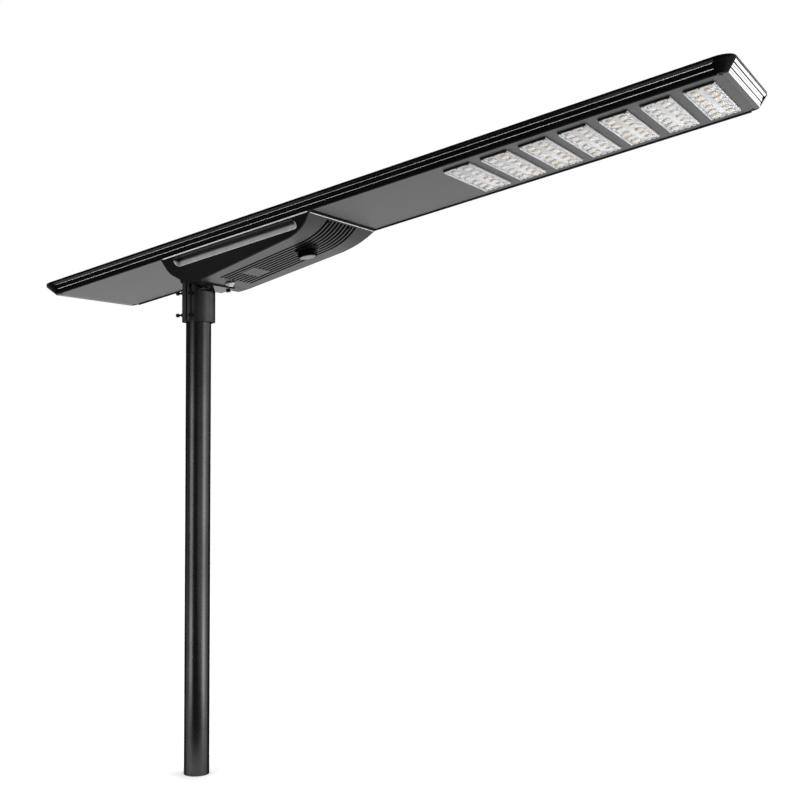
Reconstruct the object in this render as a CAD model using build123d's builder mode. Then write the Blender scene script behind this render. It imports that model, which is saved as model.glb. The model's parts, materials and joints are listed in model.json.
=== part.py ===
from build123d import *
from math import asin, atan, cos, degrees, radians, sin, sqrt, tan
import os

# Solar street lamp: a tilted head (solar panel above, LED modules and battery
# housing below) on a pole clamp. Millimetres. The origin is the centre of the
# pole's foot, +Z runs up the pole, +X points to the LED end, -Y is the near side.

# ---- driving dimensions -------------------------------------------------------
POLE_R = 38.0
POLE_WALL = 3.0
POLE_TOP = 1438.0

HEAD_L = 2097.0
HEAD_W = 370.0
HEAD_TILT = 11.1
HEAD_ORIGIN = (-414.0, 0.0, 1450.0)

# frame: heights where the outer face steps out, how far each band stands out at its
# foot, and how far the next band steps out over its sloping face
BAND_TOPS = (11.1, 22.5, 27.4, 33.7)
BAND_OUTS = (0.0, 8.1, 16.6, 24.4)
BAND_STEP = 1.5
FRAME_WALL = 3.0
FLANGE = 14.0
FLANGE_T = 2.4
CORNER_R = 18.0
CORNER_X = 22.0
CORNER_Y = 14.0
PANEL_Z = 28.7
PLAY = 0.3

# LED modules
MODULES = 7
MODULE_X = 1336.0
MODULE_PITCH = 107.2
MODULE_SIZE = (77.0, 277.0)
LENS_BASE = 3.0
LENS_EDGE = 6.0
LENS_ROWS = (-17.0, 17.0)
LENS_STEPS = (25.5, 65.5, 105.5)
LENS_R = 12.5
LENS_CROWN = 6.0
BOARD_SIZE = (62.0, 258.0)
BOARD_T = 1.6
CHIP = 5.0
CHIP_T = 0.6

# battery housing
HOUSE_REAR = 423.0
HOUSE_DEEP = 78.2
HOUSE_WALL = 3.2
CHEEK_SLOPE = 0.814
REAR_R = 28.0
REAR_R2 = 36.0
REAR_DROP = 28.0
COVER_X = 507.5
COVER_RISE = degrees(atan(0.0916))
COVER_RUN = 327.5
FRONT_R = 220.0
FRONT_TURN = 16.0
FRONT_R2 = 150.0
FRONT_TURN2 = 45.0
COVER_T = 3.0
SLOT_X = (460.0, 887.0)
SLOT_Z = (-31.0, -6.0)
TRIM_BACK = 150.0
TRIM_WALL = 1.5

# fins of the cover
FINS = 9
FIN_PITCH = 18.7
FIN_GAP = 11.0
FIN_DEPTH = 7.5
FIN_START = 547.0
FIN_TOP_Z = -7.5
PAD_X = (600.0, 646.0)
PAD_Y = (-41.0, 48.0)

SENSOR_X = 808.0
SENSOR_R = 26.0
SENSOR_FACE = -73.0
COLLAR_R = 34.0
COLLAR_NECK_R = 30.0
COLLAR_T = 2.5
COLLAR_DEEP = 16.0
SENSOR_RIM = 2.5
SENSOR_LENS_T = 2.5
LATCH_X = 526.0
LATCH_SHAFT_R = 5.0
HINGE_X = 942.4
HINGE_Z = -2.9
HINGE_R = 2.4
HINGE_PIN_R = 1.2
COVER_TOP_Z = -3.4
RUNNING = 0.08

# clamp
CLAMP_Z = 1362.0
CLAMP_TOP = 1454.0
CAP_T = 8.0
CLAMP_R = 50.0
CLAMP_WALL = 4.9
FLANGE_Y = 60.0
SADDLE_FLANGE = 8.0
STRAP_FLANGE = 16.0
STRAP_TOP = 1488.0
NECK_TOP = 1485.0
NECK_SLOPE = 0.7
NECK_SLOT = 36.0
SPLIT = 1.2
CLAMP_BOLT_Y = 54.8
CLAMP_BOLT_Z = (1380.0, 1446.0)
CLAMP_BOLT_R = 3.0
CLAMP_BOLT_AF = 10.0
BOLT_R = 4.0
BOLT_AF = 13.0

# tilt joint
PIVOT = (10.0, 1468.0)
PIVOT_R = 5.0
PIVOT_AF = 17.0
CROSS_HEAD_T = 6.0
LOCK_ARM = (-20.0, 13.0)
LUG_IN = 17.0
LUG_OUT = 27.0
EAR_IN = 27.5
EAR_OUT = 33.5
EAR_R = 12.5
TILT_UP = 18.9
TILT_DOWN = 1.1
BRACKET_Z = -78.6

# solar panel
CELL = 182.0
CELL_GAP = 2.0
CELL_ROWS = 11

# frame of the panel
GROOVE = 1.0

# underside plate, with a wire hole above each module and one above the battery
WIRE_HOLE_R = 6.0
LOOM_HOLE = (60.0, 80.0)
LOOM_X = 760.0
BRACE_X = (240.0, 1140.0, 1980.0)
BRACE_T = 2.5
BRACE_PAD = 24.0

# solar panel: backsheet, cells and glass
SHEET_T = 0.6
GLASS_T = 3.2
JUNCTION = (110.0, 64.0, 14.0)
JUNCTION_X = 420.0

# LED modules
SCREW_R = 1.5
SCREW_HEAD_R = 2.7
SCREW_HEAD = 1.6

# battery housing
COVER_GAP = 0.6
BOSS_X = (452.0, 504.0)
BOSS_Y = 61.0
LIP_X = 510.0
HOUSE_END = 1000.0
NOSE_END = 960.0
WIDE_Y = (-200.0, 200.0)
DEEP_Z = (-110.0, 1.0)

# battery cover: skin, thickened fin field, grooves, pad and seats
SEAT_R = 36.0
SEAT_Z = -54.5
LATCH_SEAT_R = 17.0
LATCH_SEAT_Z = -77.8
HINGE_GAP = 0.4
PIN_HALF = 179.0
KNUCKLES = ((-180.0, -98.5), (-33.5, 33.5), (98.5, 180.0))
FIXED_KNUCKLES = ((-98.0, -34.0), (34.0, 98.0))
RIB_SCREWS = (0.5, 6.5)
RIB_SCREW_TURN = 38.0
RIB_SCREW_R = 3.6
RIB_SCREW_T = 2.0

# latch and sensor
LATCH_R = 13.0
LATCH_DISC_T = 3.0
LATCH_WING = (25.0, 6.0)
LATCH_WING_T = 6.0
LATCH_SHAFT_L = 7.2
CAM_REACH = 15.0
CAM_R = 7.0
CAM_W = 10.0
CAM_T = 2.5

# inside the housing
CELL_R = 16.0
CELL_H = 70.0
PACK_X = 462.0
PACK_COLUMNS = 8
PACK_Z = -21.0
TRAY_T = 2.0
BMS_Y = (-80.0, 80.0)
BMS_Z = (-34.0, -2.0)
CONTROLLER = (90.0, 100.0, 30.0)
DRIVER = (70.0, 110.0, 26.0)
CASE_R = 4.0

# mounting bracket of the head
PLATE_X = (446.0, 497.0)
PLATE_T = 3.5
WEB_X = (374.0, 380.0)
WEB_DEEP = 34.0
TOP_FLANGE = (362.0, 420.0)
BRACKET_SCREW_T = 5.0

# pole and clamp
LUG_R = 15.0
LOCK_R = 9.0
EAR_ROOM = 46.0
BOSS_R = 6.5
BOSS_T = 1.6
RIDGES = (-13.5, -3.5)
RIDGE_W = 2.0
NUT_T = 5.0
BOLT_HEAD_X = -32.0
CLAMP_HEAD_T = 8.0
BOLT_END_X = 17.0

os.makedirs("parts", exist_ok=True)

TILT = radians(HEAD_TILT)
HEAD = Plane(
    origin=HEAD_ORIGIN,
    x_dir=(cos(TILT), 0, sin(TILT)),
    z_dir=(-sin(TILT), 0, cos(TILT)),
)
HALF_W = HEAD_W / 2
FRAME_TOP = BAND_TOPS[-1]


def head_at(x=0.0, y=0.0, z=0.0):
    """Plane parallel to the underside of the head, at a point of the head."""
    return Plane(origin=HEAD.from_local_coords((x, y, z)), x_dir=HEAD.x_dir, z_dir=HEAD.z_dir)


def head_side(y=0.0):
    """Upright lengthwise plane of the head, its normal towards the near side."""
    return Plane(origin=HEAD.from_local_coords((0, y, 0)), x_dir=HEAD.x_dir, z_dir=(0, -1, 0))


def head_cross(x=0.0):
    """Plane across the head, its normal towards the LED end."""
    return Plane(origin=HEAD.from_local_coords((x, 0, 0)), x_dir=(0, 1, 0), z_dir=HEAD.x_dir)


def head_box(x, y, z):
    """Box of the head from its low and high x, y and z, as a free-standing solid."""
    with BuildPart() as block:
        with BuildSketch(head_at((x[0] + x[1]) / 2, (y[0] + y[1]) / 2, z[0])):
            Rectangle(x[1] - x[0], y[1] - y[0])
        extrude(amount=z[1] - z[0])
    return block.part


def save(part, name):
    """Label a finished piece and write it."""
    part.label = name
    export_step(part, f"parts/{name}.step")


# ---- frame of the panel -------------------------------------------------------
def plan(out, z):
    """Rounded outline of the frame, standing out from the underside's outline."""
    with BuildSketch(head_at(HEAD_L / 2, 0, z)) as outline:
        RectangleRounded(HEAD_L + 2 * out, HEAD_W + 2 * out, max(CORNER_R + out, 4.0))
    return outline.sketch


def cut_cavity():
    """Hollow of the frame: a stepped room with a ledge for the panel."""
    floor = plan(-FLANGE, 0)
    extrude(floor, amount=FLANGE_T, mode=Mode.SUBTRACT)
    bottom = FLANGE_T
    for top, out in zip(BAND_TOPS[:3], BAND_OUTS[:3]):
        ceiling = min(top + FRAME_WALL, PANEL_Z)
        extrude(plan(out - FRAME_WALL, bottom), amount=ceiling - bottom, mode=Mode.SUBTRACT)
        bottom = ceiling
    rim = plan(BAND_OUTS[3] - FRAME_WALL, PANEL_Z)
    extrude(rim, amount=FRAME_TOP - PANEL_Z + 1, mode=Mode.SUBTRACT)


BANDS = list(zip((0.0,) + BAND_TOPS[:2], BAND_TOPS[:3], BAND_OUTS[:3], BAND_OUTS[1:]))
with BuildPart() as frame_ring:
    for low_z, top_z, out, next_out in BANDS:
        slope = degrees(atan((next_out - BAND_STEP - out) / (top_z - low_z)))
        extrude(plan(out, low_z), amount=top_z - low_z, taper=-slope)
    extrude(plan(BAND_OUTS[3], BAND_TOPS[2]), amount=FRAME_TOP - BAND_TOPS[2])
    cut_cavity()
    for low_z, top_z, out, next_out in BANDS[:2]:
        middle = (low_z + top_z) / 2
        reach = (out + next_out - BAND_STEP) / 2
        with BuildSketch(head_at(HEAD_L / 2, 0, middle - GROOVE / 2)):
            RectangleRounded(HEAD_L + 4 * reach + 4, HEAD_W + 4 * reach + 4, CORNER_R)
            RectangleRounded(
                HEAD_L + 2 * (reach - GROOVE),
                HEAD_W + 2 * (reach - GROOVE),
                CORNER_R + reach - GROOVE,
                mode=Mode.SUBTRACT,
            )
        extrude(amount=GROOVE, mode=Mode.SUBTRACT)

with BuildPart() as corner_ring:
    flare = degrees(atan(BAND_OUTS[3] / BAND_TOPS[2]))
    extrude(plan(0.0, 0.0), amount=BAND_TOPS[2], taper=-flare)
    extrude(plan(BAND_OUTS[3], BAND_TOPS[2]), amount=FRAME_TOP - BAND_TOPS[2])
    cut_cavity()

END_X = (-40.0, CORNER_X)
SIDE_Y = HALF_W - CORNER_Y
Z_ALL = (-5.0, FRAME_TOP + 5)
FAR_OUT = HALF_W + 40
MIRROR_X = HEAD_L / 2

with BuildPart() as rail_near:
    add(frame_ring.part)
    add(
        head_box((CORNER_X + PLAY, HEAD_L - CORNER_X - PLAY), (-FAR_OUT, -60), Z_ALL),
        mode=Mode.INTERSECT,
    )
save(rail_near.part, "rail_near")

with BuildPart() as rail_far:
    mirror(rail_near.part, about=Plane.XZ)
save(rail_far.part, "rail_far")

with BuildPart() as rail_rear:
    add(frame_ring.part)
    add(head_box((-40, 200), (-SIDE_Y + PLAY, SIDE_Y - PLAY), Z_ALL), mode=Mode.INTERSECT)
save(rail_rear.part, "rail_rear")

with BuildPart() as rail_front:
    mirror(rail_rear.part, about=head_cross(MIRROR_X))
save(rail_front.part, "rail_front")

with BuildPart() as corner_rear_near:
    add(corner_ring.part)
    add(head_box(END_X, (-FAR_OUT, -SIDE_Y), Z_ALL), mode=Mode.INTERSECT)
save(corner_rear_near.part, "corner_rear_near")

with BuildPart() as corner_rear_far:
    mirror(corner_rear_near.part, about=Plane.XZ)
save(corner_rear_far.part, "corner_rear_far")

with BuildPart() as corner_front_near:
    mirror(corner_rear_near.part, about=head_cross(MIRROR_X))
save(corner_front_near.part, "corner_front_near")

with BuildPart() as corner_front_far:
    mirror(corner_rear_far.part, about=head_cross(MIRROR_X))
save(corner_front_far.part, "corner_front_far")


# ---- underside plate, with a wire hole above each module and one above the battery ---
def module_x(number):
    """Middle of a module along the head, counted from 0."""
    return MODULE_X + number * MODULE_PITCH + MODULE_SIZE[0] / 2


with BuildPart() as back_plate:
    with BuildSketch(head_at(HEAD_L / 2)):
        RectangleRounded(
            HEAD_L - 2 * (FLANGE + PLAY), HEAD_W - 2 * (FLANGE + PLAY), CORNER_R - 4
        )
        with Locations((LOOM_X - HEAD_L / 2, 0)):
            RectangleRounded(*LOOM_HOLE, 8, mode=Mode.SUBTRACT)
        with Locations([(module_x(i) - HEAD_L / 2, 0) for i in range(MODULES)]):
            Circle(WIRE_HOLE_R, mode=Mode.SUBTRACT)
    extrude(amount=FLANGE_T)
save(back_plate.part, "back_plate")

BRACE = (40.0, 2 * (HALF_W - FRAME_WALL - 1))
BRACE_TOP = BAND_TOPS[0] + FRAME_WALL
with BuildPart() as cross_braces:
    for x in BRACE_X:
        with BuildSketch(head_at(x, 0, FLANGE_T)):
            Rectangle(*BRACE)
        extrude(amount=BRACE_TOP - FLANGE_T)
        with BuildSketch(head_at(x, 0, FLANGE_T)):
            Rectangle(BRACE[0] - 2 * BRACE_T, BRACE[1])
        extrude(amount=BRACE_TOP - FLANGE_T - BRACE_T, mode=Mode.SUBTRACT)
        with BuildSketch(head_at(x, 0, BRACE_TOP)):
            Rectangle(BRACE_PAD, BRACE[1] - 12)
        extrude(amount=PANEL_Z - 0.1 - BRACE_TOP)
save(cross_braces.part, "cross_braces")

# ---- solar panel: backsheet, cells and glass ----------------------------------
PANEL_OUT = BAND_OUTS[3] - FRAME_WALL - PLAY
PANEL_SIZE = (HEAD_L + 2 * PANEL_OUT, HEAD_W + 2 * PANEL_OUT)
with BuildPart() as backsheet:
    with BuildSketch(head_at(HEAD_L / 2, 0, PANEL_Z)):
        RectangleRounded(*PANEL_SIZE, CORNER_R + PANEL_OUT)
    extrude(amount=SHEET_T)
save(backsheet.part, "backsheet")

with BuildPart() as solar_cells:
    with BuildSketch(head_at(HEAD_L / 2, 0, PANEL_Z + SHEET_T)):
        with GridLocations(CELL + CELL_GAP, CELL + CELL_GAP, CELL_ROWS, 2):
            chamfer(Rectangle(CELL, CELL).vertices(), 9)
    extrude(amount=SHEET_T)
save(solar_cells.part, "solar_cells")

with BuildPart() as solar_glass:
    with BuildSketch(head_at(HEAD_L / 2, 0, PANEL_Z + 2 * SHEET_T)):
        RectangleRounded(*PANEL_SIZE, CORNER_R + PANEL_OUT)
    extrude(amount=GLASS_T)
    chamfer(solar_glass.faces().sort_by(HEAD.location.z_axis)[-1].edges(), 0.6)
save(solar_glass.part, "solar_glass")

with BuildPart() as junction_box:
    with BuildSketch(head_at(JUNCTION_X, 0, PANEL_Z - JUNCTION[2])):
        RectangleRounded(JUNCTION[0], JUNCTION[1], 6)
    extrude(amount=JUNCTION[2])
save(junction_box.part, "junction_box")


# ---- LED modules --------------------------------------------------------------
def lens_spots():
    """Centre of each lens from the middle of its module."""
    ys = [-y for y in reversed(LENS_STEPS)] + list(LENS_STEPS)
    return [(x, y) for x in LENS_ROWS for y in ys]


def screw_spots():
    """Centre of each screw from the middle of its module."""
    edge_x = MODULE_SIZE[0] / 2 - 4.5
    edge_y = MODULE_SIZE[1] / 2 - 5.0
    long_sides = [(sx * edge_x, y) for sx in (-1, 1) for y in (-84.0, -42.0, 42.0, 84.0)]
    corners = [(sx * edge_x, sy * edge_y) for sx in (-1, 1) for sy in (-1, 1)]
    return long_sides + corners + [(0.0, -edge_y), (0.0, edge_y)]


crown_r = (LENS_R**2 + LENS_CROWN**2) / (2 * LENS_CROWN)

with BuildPart() as first_lens_plate:
    with BuildSketch(head_at(module_x(0), 0, -LENS_BASE)):
        RectangleRounded(*MODULE_SIZE, 4)
    extrude(amount=LENS_BASE)
    with BuildSketch(head_at(module_x(0), 0, -LENS_EDGE)):
        with Locations((-MODULE_SIZE[0] / 2 + 1.6, 0), (MODULE_SIZE[0] / 2 - 1.6, 0)):
            RectangleRounded(2.8, MODULE_SIZE[1] - 8, 1.3)
    extrude(amount=LENS_EDGE - LENS_BASE)
    for x, y in lens_spots():
        spot = head_at(module_x(0) + x, y, crown_r - LENS_BASE - LENS_CROWN)
        with BuildSketch(Plane(origin=spot.origin, x_dir=spot.x_dir, z_dir=(0, -1, 0))):
            with BuildLine():
                rim = -sqrt(crown_r**2 - LENS_R**2)
                middle = asin(LENS_R / crown_r) / 2
                Line((0, rim + 0.2), (0, -crown_r))
                ThreePointArc(
                    (0, -crown_r),
                    (crown_r * sin(middle), -crown_r * cos(middle)),
                    (LENS_R, rim),
                )
                Polyline((LENS_R, rim), (LENS_R, rim + 0.2), (0, rim + 0.2))
            make_face()
        revolve(axis=Axis(spot.origin, spot.z_dir))
    with BuildSketch(head_at(module_x(0), 0, -BOARD_T - CHIP_T - 0.2)):
        RectangleRounded(BOARD_SIZE[0] + 1, BOARD_SIZE[1] + 1, 3)
    extrude(amount=BOARD_T + CHIP_T + 0.3, mode=Mode.SUBTRACT)
    with BuildSketch(head_at(module_x(0), 0, 0)):
        with Locations(screw_spots()):
            Circle(SCREW_R + 0.2)
    extrude(amount=-LENS_EDGE, mode=Mode.SUBTRACT)
    with BuildSketch(head_at(module_x(0), 0, -LENS_BASE)):
        with Locations(screw_spots()):
            Circle(SCREW_HEAD_R + 0.2)
    extrude(amount=-LENS_EDGE, mode=Mode.SUBTRACT)

with BuildPart() as first_led_board:
    with BuildSketch(head_at(module_x(0), 0, -BOARD_T)):
        RectangleRounded(*BOARD_SIZE, 3)
        Circle(4, mode=Mode.SUBTRACT)
    extrude(amount=BOARD_T)

for number in range(MODULES):
    along = Location(HEAD.x_dir * (number * MODULE_PITCH))
    with BuildPart() as lens_plate:
        add(first_lens_plate.part.moved(along))
    save(lens_plate.part, f"lens_plate_{number + 1}")
    with BuildPart() as led_board:
        add(first_led_board.part.moved(along))
    save(led_board.part, f"led_board_{number + 1}")

with BuildPart() as led_chips:
    for number in range(MODULES):
        with BuildSketch(head_at(module_x(number), 0, -BOARD_T - CHIP_T)):
            with Locations(lens_spots()):
                Rectangle(CHIP, CHIP)
        extrude(amount=CHIP_T)
save(led_chips.part, "led_chips")

with BuildPart() as module_screws:
    for number in range(MODULES):
        with BuildSketch(head_at(module_x(number), 0, -LENS_BASE - SCREW_HEAD)):
            with Locations(screw_spots()):
                Circle(SCREW_HEAD_R)
                RegularPolygon(1.4, 6, mode=Mode.SUBTRACT)
        extrude(amount=SCREW_HEAD)
        with BuildSketch(head_at(module_x(number), 0, -LENS_BASE)):
            with Locations(screw_spots()):
                Circle(SCREW_R)
        extrude(amount=LENS_BASE)
save(module_screws.part, "module_screws")


# ---- battery housing ----------------------------------------------------------
def direction(angle):
    return (cos(radians(angle)), sin(radians(angle)))


def housing_face(inset):
    """Lengthwise section of the housing, open above the underside, pulled in by inset."""
    with BuildSketch(head_side()) as face:
        with BuildLine():
            top = 60.0
            wall = Line((HOUSE_REAR, top), (HOUSE_REAR, -REAR_DROP))
            turn = JernArc(wall @ 1, (0, -1), REAR_R, 45)
            drop = HOUSE_DEEP + (turn @ 1).Y - REAR_R2 * (1 - cos(radians(45)))
            slope = Line(turn @ 1, (turn @ 1) + Vector(drop, -drop))
            keel = JernArc(slope @ 1, direction(-45), REAR_R2, 45)
            pad = Line(keel @ 1, (COVER_X, -HOUSE_DEEP))
            rise = tan(radians(COVER_RISE)) * COVER_RUN
            belly = Line(pad @ 1, (COVER_X + COVER_RUN, rise - HOUSE_DEEP))
            bow = JernArc(belly @ 1, direction(COVER_RISE), FRONT_R, FRONT_TURN)
            nose = JernArc(bow @ 1, direction(COVER_RISE + FRONT_TURN), FRONT_R2, FRONT_TURN2)
            Line(nose @ 1, ((nose @ 1).X, top))
            Line(((nose @ 1).X, top), (HOUSE_REAR, top))
        make_face()
        if inset:
            offset(amount=-inset, kind=Kind.INTERSECTION)
    return face.sketch


def cheeks(inset, top=0.0):
    """Body between the two slanted cheeks, each pulled in by inset, up to top."""
    deep = 110.0
    wide = HALF_W - inset
    with BuildPart() as wedge:
        with BuildSketch(head_cross(300)):
            with BuildLine():
                Polyline(
                    (-wide - CHEEK_SLOPE * top, top),
                    (wide + CHEEK_SLOPE * top, top),
                    (wide - CHEEK_SLOPE * deep, -deep),
                    (CHEEK_SLOPE * deep - wide, -deep),
                    close=True,
                )
            make_face()
        extrude(amount=800)
    return wedge.part


def prism(face, low_y, high_y):
    """A lengthwise section of the head, made as wide as from low_y to high_y."""
    with BuildPart() as bar:
        extrude(face, amount=(high_y - low_y) / 2, both=True)
    return bar.part.moved(Location((0, (low_y + high_y) / 2, 0)))


CHEEK_IN = HOUSE_WALL * sqrt(1 + CHEEK_SLOPE**2)
slot_height = SLOT_Z[1] - SLOT_Z[0]
slot_length = SLOT_X[1] - SLOT_X[0]
slot_middle = ((SLOT_X[0] + SLOT_X[1]) / 2, (SLOT_Z[0] + SLOT_Z[1]) / 2)


def slot_prism(grow, back, reach):
    """Long rounded bar through both cheeks or one, from back outwards by reach."""
    radius = slot_height / 2 - 1 + grow
    with BuildPart() as bar:
        with BuildSketch(head_side(-back)):
            with Locations(slot_middle):
                RectangleRounded(slot_length + 2 * grow, slot_height + 2 * grow, radius)
        extrude(amount=reach)
    return bar.part


with BuildPart() as housing_body:
    add(prism(housing_face(COVER_T + COVER_GAP), -HALF_W, HALF_W))
    rear_end = head_box((HOUSE_REAR - 20, COVER_X - 0.5), WIDE_Y, (DEEP_Z[0], 10))
    add(prism(housing_face(0.0), -HALF_W, HALF_W) & rear_end)
    add(cheeks(0.0), mode=Mode.INTERSECT)
    add(prism(housing_face(HOUSE_WALL), -HALF_W, HALF_W) & cheeks(CHEEK_IN, 1.0), mode=Mode.SUBTRACT)
    add(head_box((LIP_X, HOUSE_END), WIDE_Y, DEEP_Z) & cheeks(CHEEK_IN, 1.0), mode=Mode.SUBTRACT)
    add(head_box(BOSS_X, (-BOSS_Y, BOSS_Y), (BRACKET_Z, -HOUSE_DEEP + HOUSE_WALL + 2)))
    add(slot_prism(PLAY, TRIM_BACK - 4, 60), mode=Mode.SUBTRACT)
    far_slot = mirror(slot_prism(PLAY, TRIM_BACK - 4, 60), about=Plane.XZ, mode=Mode.PRIVATE)
    add(far_slot, mode=Mode.SUBTRACT)
save(housing_body.part, "housing_body")

with BuildPart() as side_trim_near:
    add(slot_prism(0.0, TRIM_BACK, 60))
    add(slot_prism(-TRIM_WALL, TRIM_BACK + TRIM_WALL, 60), mode=Mode.SUBTRACT)
    add(cheeks(0.4, 1.0), mode=Mode.INTERSECT)
save(side_trim_near.part, "side_trim_near")

with BuildPart() as side_trim_far:
    mirror(side_trim_near.part, about=Plane.XZ)
save(side_trim_far.part, "side_trim_far")

# ---- battery cover: skin, thickened fin field, grooves, pad and seats -----------
COVER_LOW = (COVER_X + 0.5, NOSE_END)
FIELD_Y = (FINS - 1) / 2 * FIN_PITCH + FIN_GAP / 2 + 5


def groove_y(number):
    return (number - (FINS - 1) / 2) * FIN_PITCH


def band(outer_inset, inner_inset, x, y, top=FIN_TOP_Z):
    """Strip of the cover's wall between two insets, from low to high x and y."""
    strip = prism(housing_face(outer_inset), y[0], y[1])
    strip -= prism(housing_face(inner_inset), y[0] - 1, y[1] + 1)
    return strip & head_box(x, y, (DEEP_Z[0], top))


def cover_disc(radius, x, z_low, z_high):
    """Round seat on the cover, square to the underside of the head."""
    with BuildPart() as disc:
        with BuildSketch(head_at(x, 0, z_low)):
            Circle(radius)
        extrude(amount=z_high - z_low)
    return disc.part


with BuildPart() as battery_cover:
    add(band(0.0, COVER_T, COVER_LOW, (-HALF_W, HALF_W), COVER_TOP_Z))
    add(cheeks(0.0), mode=Mode.INTERSECT)
    add(band(COVER_T - 0.5, FIN_DEPTH + 3, (FIN_START - 10, NOSE_END), (-FIELD_Y, FIELD_Y), COVER_TOP_Z))
    for number in range(FINS):
        slot = (groove_y(number) - FIN_GAP / 2, groove_y(number) + FIN_GAP / 2)
        add(band(-3.0, FIN_DEPTH, (FIN_START, NOSE_END), slot), mode=Mode.SUBTRACT)
    add(band(-0.8, FIN_DEPTH + 1, PAD_X, PAD_Y))
    add(cover_disc(SEAT_R, SENSOR_X, SEAT_Z, -40.0))
    add(cover_disc(LATCH_SEAT_R, LATCH_X, LATCH_SEAT_Z, -73.0))
    add(cover_disc(COLLAR_NECK_R + PLAY, SENSOR_X, DEEP_Z[0], -20.0), mode=Mode.SUBTRACT)
    add(cover_disc(LATCH_SHAFT_R + RUNNING, LATCH_X, DEEP_Z[0], -60.0), mode=Mode.SUBTRACT)
    for low_y, high_y in KNUCKLES:
        with BuildSketch(head_side(low_y)):
            with Locations((HINGE_X, HINGE_Z)):
                Circle(HINGE_R)
        extrude(amount=low_y - high_y)
    for low_y, high_y in FIXED_KNUCKLES:
        with BuildSketch(head_side(low_y - HINGE_GAP)):
            with Locations((HINGE_X, HINGE_Z)):
                Circle(HINGE_R + HINGE_GAP)
        extrude(amount=low_y - high_y - 2 * HINGE_GAP, mode=Mode.SUBTRACT)
    with BuildSketch(head_side(WIDE_Y[1])):
        with Locations((HINGE_X, HINGE_Z)):
            Circle(HINGE_PIN_R + RUNNING)
    extrude(amount=2 * WIDE_Y[1], mode=Mode.SUBTRACT)
save(battery_cover.part, "battery_cover")

with BuildPart() as cover_gasket:
    add(band(COVER_T, COVER_T + 2, (COVER_X + 4, 880), (-HALF_W, HALF_W)))
    add(cheeks(6.0), mode=Mode.INTERSECT)
    inner = head_box((COVER_X + 10, HOUSE_END), WIDE_Y, DEEP_Z) & cheeks(12.0, 1.0)
    add(inner, mode=Mode.SUBTRACT)
    add(cover_disc(LATCH_SEAT_R + PLAY, LATCH_X, -80.0, -70.0), mode=Mode.SUBTRACT)
save(cover_gasket.part, "cover_gasket")

with BuildPart() as cover_hinge_leaf:
    for low_y, high_y in FIXED_KNUCKLES:
        with BuildSketch(head_side(low_y)):
            with Locations((HINGE_X, HINGE_Z)):
                Circle(HINGE_R)
            with BuildLine():
                Polyline(
                    (HINGE_X + HINGE_R, HINGE_Z),
                    (HINGE_X + HINGE_R, 0),
                    (HINGE_X - 45, 0),
                    (HINGE_X - 45, -1.6),
                    (HINGE_X - 2, -1.6),
                    close=True,
                )
            make_face()
        extrude(amount=low_y - high_y)
    with BuildSketch(head_side(WIDE_Y[1])):
        with Locations((HINGE_X, HINGE_Z)):
            Circle(HINGE_PIN_R + RUNNING)
    extrude(amount=2 * WIDE_Y[1], mode=Mode.SUBTRACT)
save(cover_hinge_leaf.part, "cover_hinge_leaf")

with BuildPart() as cover_hinge_pin:
    with BuildSketch(head_side(PIN_HALF)):
        with Locations((HINGE_X, HINGE_Z)):
            Circle(HINGE_PIN_R)
    extrude(amount=2 * PIN_HALF)
save(cover_hinge_pin.part, "cover_hinge_pin")

# two screws near the top of the nose, on the second and eighth ribs
nose_turn = COVER_RISE + FRONT_TURN
bow_x = COVER_X + COVER_RUN + FRONT_R * (sin(radians(nose_turn)) - sin(radians(COVER_RISE)))
bow_z = tan(radians(COVER_RISE)) * COVER_RUN - HOUSE_DEEP
bow_z += FRONT_R * (cos(radians(COVER_RISE)) - cos(radians(nose_turn)))
screw_x = bow_x + FRONT_R2 * (sin(radians(RIB_SCREW_TURN)) - sin(radians(nose_turn)))
screw_z = bow_z + FRONT_R2 * (cos(radians(nose_turn)) - cos(radians(RIB_SCREW_TURN)))
outward = Vector(sin(radians(RIB_SCREW_TURN)), 0, -cos(radians(RIB_SCREW_TURN)))
with BuildPart() as louvre_screws:
    for rib in RIB_SCREWS:
        head_plane = Plane(
            origin=HEAD.from_local_coords((screw_x, groove_y(rib), screw_z)),
            x_dir=(0, 1, 0),
            z_dir=HEAD.from_local_coords(outward) - HEAD.origin,
        )
        with BuildSketch(head_plane):
            Circle(RIB_SCREW_R)
            RegularPolygon(RIB_SCREW_R / 2, 6, mode=Mode.SUBTRACT)
        extrude(amount=RIB_SCREW_T)
save(louvre_screws.part, "louvre_screws")

# ---- latch and sensor ---------------------------------------------------------
with BuildPart() as latch_knob:
    with BuildSketch(head_at(LATCH_X, 0, LATCH_SEAT_Z - LATCH_DISC_T - 0.2)):
        Circle(LATCH_R)
    extrude(amount=LATCH_DISC_T)
    with BuildSketch(head_at(LATCH_X, 0, LATCH_SEAT_Z - LATCH_DISC_T - LATCH_WING_T)):
        SlotOverall(*LATCH_WING, rotation=90)
    extrude(amount=LATCH_WING_T)
    with BuildSketch(head_at(LATCH_X, 0, LATCH_SEAT_Z - 0.5)):
        Circle(LATCH_SHAFT_R)
    extrude(amount=LATCH_SHAFT_L)
save(latch_knob.part, "latch_knob")

CAM_Z = LATCH_SEAT_Z - 0.5 + LATCH_SHAFT_L
with BuildPart() as latch_cam:
    with BuildSketch(head_at(LATCH_X, 0, CAM_Z)):
        Circle(CAM_R)
        with Locations((0, CAM_REACH / 2)):
            Rectangle(CAM_W, CAM_REACH)
    extrude(amount=CAM_T)
save(latch_cam.part, "latch_cam")

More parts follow.
